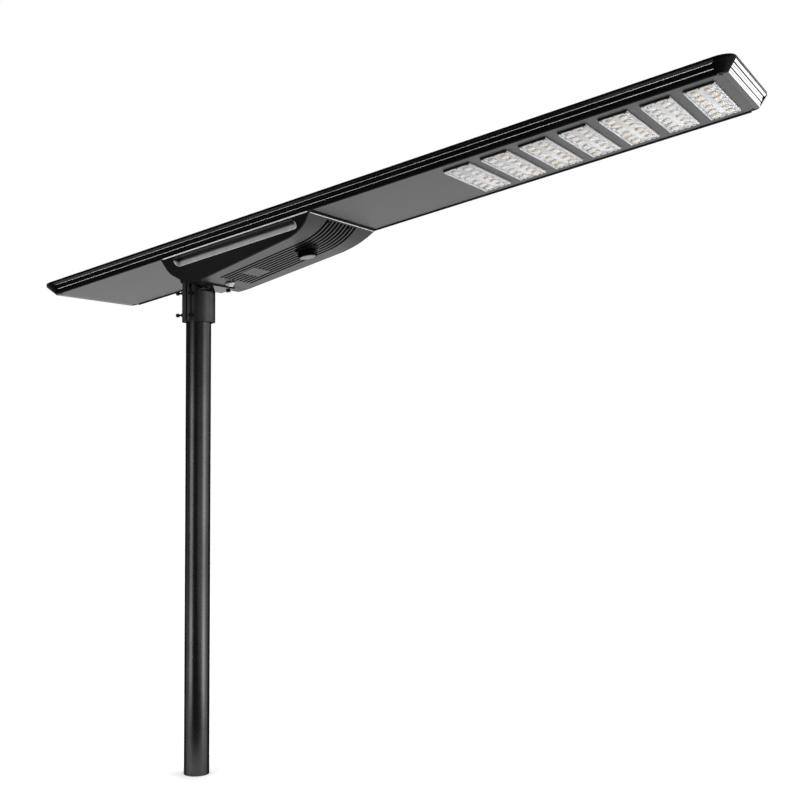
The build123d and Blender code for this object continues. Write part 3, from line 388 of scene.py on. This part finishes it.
# ---- pieces made here ---------------------------------------------------------------
def solid(name, form, slot, body, smooth=True):
    """An object from a bmesh made in the head's frame, in its material slot, on a body."""
    bmesh.ops.recalc_face_normals(form, faces=form.faces)
    mesh = bpy.data.meshes.new(name)
    form.to_mesh(mesh)
    form.free()
    mesh.transform(HEAD_MATRIX)
    for face in mesh.polygons:
        face.use_smooth = smooth
    mesh.materials.append(MATERIALS[slot])
    made = bpy.data.objects.new(name, mesh)
    bpy.context.scene.collection.objects.link(made)
    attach(made, body)
    return made


def rounded_outline(cx, cy, wide, deep, radius, steps=5):
    """Points of a rounded rectangle, anticlockwise."""
    points = []
    for index in range(4):
        sx, sy = ((1, 1), (-1, 1), (-1, -1), (1, -1))[index]
        mx = cx + sx * (wide / 2 - radius)
        my = cy + sy * (deep / 2 - radius)
        for step in range(steps + 1):
            angle = math.radians(90 * index + 90 * step / steps)
            points.append((mx + radius * math.cos(angle), my + radius * math.sin(angle)))
    return points


def loft(form, rings, cap_first=True, cap_last=True):
    """Skins rings of points that all have the same number of points."""
    made = [[form.verts.new(point) for point in ring] for ring in rings]
    count = len(made[0])
    for low, high in zip(made, made[1:]):
        for index in range(count):
            after = (index + 1) % count
            form.faces.new((low[index], low[after], high[after], high[index]))
    if cap_first:
        form.faces.new(list(reversed(made[0])))
    if cap_last:
        form.faces.new(made[-1])


def slab(form, cx, cy, wide, deep, low, high, radius, soft=0.0003):
    """A rounded slab with softened upper and lower edges."""
    rings = []
    for z, back in ((low, soft), (low + soft, 0), (high - soft, 0), (high, soft)):
        outline = rounded_outline(cx, cy, wide - 2 * back, deep - 2 * back, max(radius - back, 0.0001))
        rings.append([(x, y, z) for x, y in outline])
    loft(form, rings)


def lens(form, cx, cy, base, height, half_x, half_y):
    """A two-lobed street-lamp lens that hangs down from the plate."""
    around, rings = 32, 9
    made = []
    for ring in range(rings):
        share = 1 - ring / rings
        points = []
        for index in range(around):
            angle = 2 * math.pi * index / around
            pinch = 1 - 0.14 * math.cos(angle) ** 4
            dome = math.sqrt(max(0.0, 1 - share**2.6))
            lobe = 1 - 0.22 * math.exp(-((share * math.sin(angle)) / 0.38) ** 2) * (1 - share**2)
            x = cx + half_x * share * pinch * math.cos(angle)
            y = cy + half_y * share * math.sin(angle)
            points.append((x, y, base - height * dome * lobe))
        made.append(points)
    loft(form, made, cap_first=True, cap_last=False)
    form.verts.ensure_lookup_table()
    last = form.verts[-around:]
    tip = form.verts.new((cx, cy, base - height * 0.78))
    for index in range(around):
        form.faces.new((last[index], last[(index + 1) % around], tip))


MODULE_COUNT = 7
MODULE = (0.077, 0.277)
MODULE_CORNER = 0.004
PLATE_T = 0.003
PLATE_BACK = 0.0024
EDGE_T = 0.006
WALL_IN = 0.0016
WALL_T = 0.0030
WALL_CORNER = 0.001
RIDGE_T = 0.0026
RIDGE_SHORT = 0.010
SEAT_COUNT = 3
SEAT_PITCH = 0.0395
SEAT = (0.0070, 0.020)
SEAT_IN = 0.0065
SEAT_T = 0.0012
CLIP_STEPS = (-0.026, -0.009, 0.009, 0.026)
CLIP = (0.013, 0.0060)
CLIP_IN = 0.004
CLIP_T = 0.0016
SUNK = 0.0002
BAR_CORNER = 0.0012
LENS_DEEP = 0.006
LENS_HALF = (0.0115, 0.0165)
LENS_ROWS = (-0.017, 0.017)
LENS_STEPS = (0.0255, 0.0655, 0.1055)


def module_middle(number):
    """The middle of a module on the underside, in the head's frame."""
    low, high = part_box(f"lens_plate_{number}")
    middle = HEAD_MATRIX.inverted() @ ((low + high) / 2)
    return middle.x, middle.y


def lens_spots(cx, cy):
    """The middles of a module's twelve lenses."""
    for row in LENS_ROWS:
        for step in LENS_STEPS:
            for side in (-1, 1):
                yield cx + row, cy + side * step


def lens_sheet(number):
    """One module's moulded lens sheet: plate, lenses, edge walls, screw seats and clips."""
    cx, cy = module_middle(number)
    wide, deep = MODULE
    form = bmesh.new()
    slab(form, cx, cy, wide, deep, -PLATE_T, -PLATE_BACK, MODULE_CORNER)
    for side in (-1, 1):
        edge = cx + side * (wide / 2 - WALL_IN)
        slab(form, edge, cy, WALL_T, deep, -PLATE_T, 0.0, WALL_CORNER)
        slab(form, cx, cy + side * (deep / 2 - WALL_IN), wide, WALL_T, -PLATE_T, 0.0, WALL_CORNER)
        slab(form, edge, cy, RIDGE_T, deep - RIDGE_SHORT, -EDGE_T, -PLATE_T, BAR_CORNER)
        for step in range(-SEAT_COUNT, SEAT_COUNT + 1):
            spot = (edge - side * SEAT_IN, cy + step * SEAT_PITCH)
            slab(form, *spot, *SEAT, -PLATE_T - SEAT_T, -PLATE_T + SUNK, BAR_CORNER)
    for step in CLIP_STEPS:
        for side in (-1, 1):
            spot = (cx + step, cy + side * (deep / 2 - CLIP_IN))
            slab(form, *spot, *CLIP, -PLATE_T - CLIP_T, -PLATE_T + SUNK, BAR_CORNER)
    for x, y in lens_spots(cx, cy):
        lens(form, x, y, -PLATE_T, LENS_DEEP, *LENS_HALF)
    made = solid(f"lens_sheet_{number}", form, "clear_lens", "head")
    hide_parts(f"lens_plate_{number}")


for number in range(1, MODULE_COUNT + 1):
    lens_sheet(number)

CHIP_LOW = 0.0022
DOME_R = 0.0042
DOME_T = 0.0022


def dome(form, cx, cy, base, radius, height):
    """A small dome that hangs from base."""
    around, rings = 16, 4
    made = []
    for ring in range(rings):
        angle = math.radians(90 * ring / rings)
        size = radius * math.cos(angle)
        low = base - height * math.sin(angle)
        turns = [2 * math.pi * index / around for index in range(around)]
        made.append([(cx + size * math.cos(turn), cy + size * math.sin(turn), low) for turn in turns])
    loft(form, made)


def led_domes():
    """Amber phosphor dome on each chip."""
    form = bmesh.new()
    for number in range(1, MODULE_COUNT + 1):
        for x, y in lens_spots(*module_middle(number)):
            dome(form, x, y, -CHIP_LOW, DOME_R, DOME_T)
    solid("led_domes", form, "led_phosphor", "head")


led_domes()

# Dark strips and clips of painted shade along the modules' short ends, where a shadow gap falls.
SHADE_STRIP_OUT = 0.0012
SHADE_STRIP = (0.0018, 0.0040)
SHADE_STRIP_SHORT = 0.002
SHADE_STRIP_CORNER = 0.0006
SHADE_CLIP_STEPS = (-0.030, 0.0, 0.030)
SHADE_CLIP = (0.0022, 0.0060)
SHADE_CLIP_Z = (-0.0054, -0.0030)
SHADE_CLIP_IN = 0.0035
SHADE_CLIP_CORNER = 0.0008


def module_shade_strips():
    """Dark strips of painted shade along the short ends of the modules, with three clips each, standing in
    for the shadow gap there.
    """
    form = bmesh.new()
    for number in range(1, MODULE_COUNT + 1):
        cx, cy = module_middle(number)
        for side in (-1, 1):
            edge = cy + side * (MODULE[1] / 2 + SHADE_STRIP_OUT)
            slab(form, cx, edge, MODULE[0] - SHADE_STRIP_SHORT, SHADE_STRIP[0], -SHADE_STRIP[1], 0.0, SHADE_STRIP_CORNER)
            for step in SHADE_CLIP_STEPS:
                spot = (cx + step, edge - side * SHADE_CLIP_IN)
                slab(form, *spot, *SHADE_CLIP, *SHADE_CLIP_Z, SHADE_CLIP_CORNER)
    solid("module_shade_strips", form, "gasket_rubber", "head")


module_shade_strips()


TIP_SIZE = 0.4


def bar(form, ends, middle, wide, high, across=False, steps=10):
    """A rounded bar along the head, or across it, tapered at both ends."""
    rings = []
    taper = 2 * wide
    whole = ((ends[0] + taper, 1.0), (ends[1] - taper, 1.0))
    for far, size in ((ends[0], TIP_SIZE), *whole, (ends[1], TIP_SIZE)):
        ring = []
        for index in range(steps):
            angle = 2 * math.pi * index / steps
            aside = middle[0] + size * wide / 2 * math.cos(angle)
            height = middle[1] + size * high / 2 * math.sin(angle)
            ring.append((aside, far, height) if across else (far, aside, height))
        rings.append(ring)
    loft(form, rings)


RAIL = (0.0235, 2.0735)
HALF_WIDTH = 0.185
# Bright aluminium beads that paint the highlights on the side rails' steps.
HIGHLIGHT_BEADS = ((0.0081, 0.0111), (0.0166, 0.0225))
BEAD_T = 0.0028
BEAD_SHIFT = 0.35 * BEAD_T
DRIP_LIP = (0.0018, 0.0007)
DRIP_LIP_IN = 0.0014
DRIP_LIP_Z = (-0.0030, 0.0005)


def rail_highlight_beads():
    """Bright beads of painted highlight on the two long steps of each side rail, and a drip lip under it."""
    for side, word in ((-1, "near"), (1, "far")):
        form = bmesh.new()
        for out, height in HIGHLIGHT_BEADS:
            edge = side * (HALF_WIDTH + out - BEAD_SHIFT)
            bar(form, RAIL, (edge, height + BEAD_SHIFT), BEAD_T, BEAD_T)
        solid(f"rail_highlight_beads_{word}", form, "bare_aluminium", "head")
        form = bmesh.new()
        spot = (sum(RAIL) / 2, side * (HALF_WIDTH - DRIP_LIP_IN))
        slab(form, *spot, RAIL[1] - RAIL[0], DRIP_LIP[0], *DRIP_LIP_Z, DRIP_LIP[1])
        solid(f"drip_lip_{word}", form, "gasket_rubber", "head")


rail_highlight_beads()

# A bright bead paints the highlight along the joint of frame and housing.
HOUSE = (0.429, 0.940)
HIGHLIGHT_T = 0.0040
HIGHLIGHT_AT = (0.0012, -0.0020)


def joint_highlight(side):
    """Bright bead along the joint between the frame and the housing: a ledge there, in bright aluminium as a
    painted highlight.
    """
    form = bmesh.new()
    bar(form, HOUSE, (side * (HALF_WIDTH - HIGHLIGHT_AT[0]), HIGHLIGHT_AT[1]), HIGHLIGHT_T, HIGHLIGHT_T)
    solid(f"joint_highlight_{'near' if side < 0 else 'far'}", form, "bare_aluminium", "head")


joint_highlight(-1)
joint_highlight(1)

LIP = (0.9425, -0.0052)
LIP_HALF = 0.176
LIP_T = 0.0018
# Flat black strip that paints the shadow line ahead of the cover's lip.
NOSE_SHADOW = (0.9475, 0.007)
NOSE_SHADOW_Z = (-0.0008, 0.0002)
THIN_SOFT = 0.0002


def cover_front():
    """Thin bright bead of painted highlight across the front lip of the battery cover, and a flat black strip
    of painted shadow ahead of it.
    """
    form = bmesh.new()
    bar(form, (-LIP_HALF, LIP_HALF), LIP, LIP_T, LIP_T, across=True)
    solid("cover_lip_highlight", form, "bare_aluminium", "cover")
    form = bmesh.new()
    slab(form, NOSE_SHADOW[0], 0, NOSE_SHADOW[1], 2 * LIP_HALF, *NOSE_SHADOW_Z, WALL_CORNER, soft=THIN_SOFT)
    solid("nose_shadow_strip", form, "black_plastic", "head")


cover_front()

# Black films that paint the shade in the louvre grooves of the battery cover.
FINS = 9
FIN_PITCH = 0.0187
FIN_GAP = 0.011
FIN_REACH = (0.548, 0.936)
FIN_STEPS = 120
FIN_SUNK = 0.0015
FIN_JUMP = 0.012
FLOOR_T = 0.0005
FLOOR_PLAY = 0.0001
BELOW = -0.2


def film(form, run, y):
    """A thin strip under a line of points of the head's x and z."""
    if len(run) < 3:
        return
    near, far = y - FIN_GAP / 2 + FLOOR_PLAY, y + FIN_GAP / 2 - FLOOR_PLAY
    rings = []
    for x, z in run:
        rings.append([(x, near, z), (x, far, z), (x, far, z - FLOOR_T), (x, near, z - FLOOR_T)])
    loft(form, rings)


def louvre_shade_films():
    """Black film of painted shade along the bottom of each louvre, found by casting rays up at the battery
    cover.
    """
    inverse = HEAD_MATRIX.inverted()
    mesh = NODES["battery_cover"].data
    spots = [inverse @ vertex.co for vertex in mesh.vertices]
    tree = BVHTree.FromPolygons(spots, [list(face.vertices) for face in mesh.polygons])
    up = Vector((0, 0, 1))
    form = bmesh.new()
    for number in range(FINS):
        y = (number - (FINS - 1) / 2) * FIN_PITCH
        run = []
        for index in range(FIN_STEPS + 1):
            x = FIN_REACH[0] + (FIN_REACH[1] - FIN_REACH[0]) * index / FIN_STEPS
            floor = tree.ray_cast(Vector((x, y, BELOW)), up)[0]
            beside = tree.ray_cast(Vector((x, y + FIN_PITCH / 2, BELOW)), up)[0]
            sunk = floor and beside and floor.z > beside.z + FIN_SUNK
            if sunk and (not run or abs(floor.z - run[-1][1]) < FIN_JUMP):
                run.append((x, floor.z))
            else:
                film(form, run, y)
                run = []
        film(form, run, y)
    solid("louvre_shade_films", form, "black_plastic", "cover")


louvre_shade_films()

END_X = 2.097
# Black bars that paint the shade of the end rail's ledges.
END_SHADE_LINES = ((0.0066, 0.0108), (0.0151, 0.0222), (0.0229, 0.0271))
SHADE_LINE_T = 0.0026
RIM_OUT = 0.0240
RIM_Z = (0.0290, 0.0335)
RIM_T = 0.0014
RIM_CORNER = 0.0004
END_PLAY = 0.001
# A bright band that paints the reflection in the end rail's upper faces.
REFLECTION_BAND = ((0.0168, 0.0229), (0.0225, 0.0271), (0.0227, 0.0269), (0.0170, 0.0227))


def end_rail_shading():
    """Black bars of painted shade along the end rail's steps, a black strip along its top, and a bright
    aluminium band over its upper faces as a painted reflection.
    """
    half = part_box("rail_front")[1].y - END_PLAY
    form = bmesh.new()
    for out, height in END_SHADE_LINES:
        bar(form, (-half, half), (END_X + out, height), SHADE_LINE_T, SHADE_LINE_T, across=True)
    slab(form, END_X + RIM_OUT, 0, RIM_T, 2 * half, *RIM_Z, RIM_CORNER, soft=THIN_SOFT)
    solid("end_rail_shading", form, "black_plastic", "head")
    form = bmesh.new()
    loft(form, [[(END_X + out, y, height) for out, height in REFLECTION_BAND] for y in (-half, half)])
    solid("end_reflection_band", form, "bare_aluminium", "head", smooth=False)


end_rail_shading()


# ---- camera, floor and lights -------------------------------------------------------
def look(position, forward, lens):
    """A camera at a position that looks along forward, with its horizon level."""
    data = bpy.data.cameras.new("camera")
    data.lens = lens
    data.sensor_width = 36.0
    made = bpy.data.objects.new("camera", data)
    made.location = position
    made.rotation_euler = Vector(forward).to_track_quat("-Z", "Y").to_euler()
    bpy.context.scene.collection.objects.link(made)
    bpy.context.scene.camera = made


CAMERA_AT = (2.287, -2.976, 1.020)
CAMERA_AHEAD = (-0.4713, 0.8815, 0.0285)
CAMERA_LENS = 54.79
look(CAMERA_AT, CAMERA_AHEAD, CAMERA_LENS)


def softbox(name, position, target, size, power):
    """A rectangular light at a position, turned to a target."""
    data = bpy.data.lights.new(name, "AREA")
    data.shape = "RECTANGLE"
    data.size, data.size_y = size
    data.energy = power
    made = bpy.data.objects.new(name, data)
    made.location = position
    made.rotation_euler = (Vector(target) - Vector(position)).to_track_quat("-Z", "Y").to_euler()
    bpy.context.scene.collection.objects.link(made)
    return made


AHEAD = (-0.4716, 0.8818, 0.0)
DARK_FROM = 0.32
DARK_RIGHT = 0.9
FLOOR_HALF = 60.0
FLOOR_CORNERS = ((-1, -1), (1, -1), (1, 1), (-1, 1))


def stage_floor():
    """A wide pale floor at the level of the pole's foot.

    Its front part is pale to the camera only. To other rays it is dark, so that the black
    pole and rails don't mirror a white floor.
    """
    mesh = bpy.data.meshes.new("floor")
    form = bmesh.new()
    form.faces.new([form.verts.new((FLOOR_HALF * x, FLOOR_HALF * y, 0.0)) for x, y in FLOOR_CORNERS])
    form.to_mesh(mesh)
    form.free()
    made, tree, shader = material("floor")
    vector = place(tree, False)
    speck = noise(tree, vector, 3.0, 3.0)
    pale = blend_colour(tree, spread(tree, speck, 0, 1), (0.935, 0.935, 0.935), (0.945, 0.945, 0.945))
    depth = node(tree, "ShaderNodeVectorMath", operation="DOT_PRODUCT")
    tree.links.new(vector, depth.inputs[0])
    depth.inputs[1].default_value = AHEAD
    across = node(tree, "ShaderNodeVectorMath", operation="DOT_PRODUCT")
    tree.links.new(vector, across.inputs[0])
    across.inputs[1].default_value = (AHEAD[1], -AHEAD[0], 0.0)
    front = math_of(tree, "LESS_THAN", depth.outputs["Value"], -DARK_FROM)
    near = math_of(tree, "LESS_THAN", across.outputs["Value"], DARK_RIGHT)
    ray = node(tree, "ShaderNodeLightPath")
    unseen = math_of(tree, "SUBTRACT", 1.0, ray.outputs["Is Camera Ray"])
    held = math_of(tree, "MULTIPLY", unseen, math_of(tree, "MULTIPLY", front, near))
    tree.links.new(blend_colour(tree, held, pale, (0.012, 0.012, 0.012)), shader.inputs["Base Color"])
    shader.inputs["Roughness"].default_value = 0.9
    shader.inputs["IOR"].default_value = 1.2
    mesh.materials.append(made)
    floor = bpy.data.objects.new("floor", mesh)
    bpy.context.scene.collection.objects.link(floor)


stage_floor()

# ---- world: white to the camera, dark in front of the lamp and bright behind and above it ----
BEHIND = (0.05, 1.35)
ABOVE = (0.0, 1.6)
world = bpy.data.worlds.new("studio")
bpy.context.scene.world = world
world.use_nodes = True
tree = world.node_tree
tree.nodes.clear()
facing = node(tree, "ShaderNodeTexCoord")
axes = node(tree, "ShaderNodeSeparateXYZ")
tree.links.new(facing.outputs["Generated"], axes.inputs[0])
behind = spread(tree, axes.outputs["Y"], *BEHIND, -0.35, 0.15)
above = spread(tree, axes.outputs["Z"], *ABOVE, 0.35, 0.9)
studio = math_of(tree, "MAXIMUM", behind, above)
ray = node(tree, "ShaderNodeLightPath")
mix = node(tree, "ShaderNodeMixShader")
inside = node(tree, "ShaderNodeBackground")
tree.links.new(studio, inside.inputs["Strength"])
seen = node(tree, "ShaderNodeBackground")
seen.inputs["Strength"].default_value = 1.0
for background in (inside, seen):
    background.inputs["Color"].default_value = (1, 1, 1, 1)
tree.links.new(ray.outputs["Is Camera Ray"], mix.inputs[0])
tree.links.new(inside.outputs[0], mix.inputs[1])
tree.links.new(seen.outputs[0], mix.inputs[2])
output = node(tree, "ShaderNodeOutputWorld")
tree.links.new(mix.outputs[0], output.inputs[0])

bpy.context.scene.view_settings.view_transform = "Standard"

# Two wide strips and two low ones give the pole its two highlights; a panel lights the end rail.
POLE_HALF = 0.72
STRIP_SIZE = (1.5, 1.3)
STRIP_POWER = 24
softbox("strip_left", (-1.15, -2.8, POLE_HALF), (0, 0, POLE_HALF), STRIP_SIZE, STRIP_POWER)
softbox("strip_right", (2.95, 0.4, POLE_HALF), (0, 0, POLE_HALF), STRIP_SIZE, STRIP_POWER)
FOOT_HALF = 0.18
FOOT_SIZE = (0.5, 2 * FOOT_HALF)
FOOT_POWER = 2.2
softbox("foot_left", (-0.38, -0.925, FOOT_HALF), (0, 0, FOOT_HALF), FOOT_SIZE, FOOT_POWER)
softbox("foot_right", (0.99, 0.134, FOOT_HALF), (0, 0, FOOT_HALF), FOOT_SIZE, FOOT_POWER)
END = head(2.12, 0, 0.015)
PANEL_WAY = Vector((0.323, 0.943, 0.076))
PANEL_FAR = 4.2
PANEL_SIZE = (1.2, 0.9)
PANEL_POWER = 22
softbox("panel_end", END + PANEL_FAR * PANEL_WAY, END, PANEL_SIZE, PANEL_POWER)
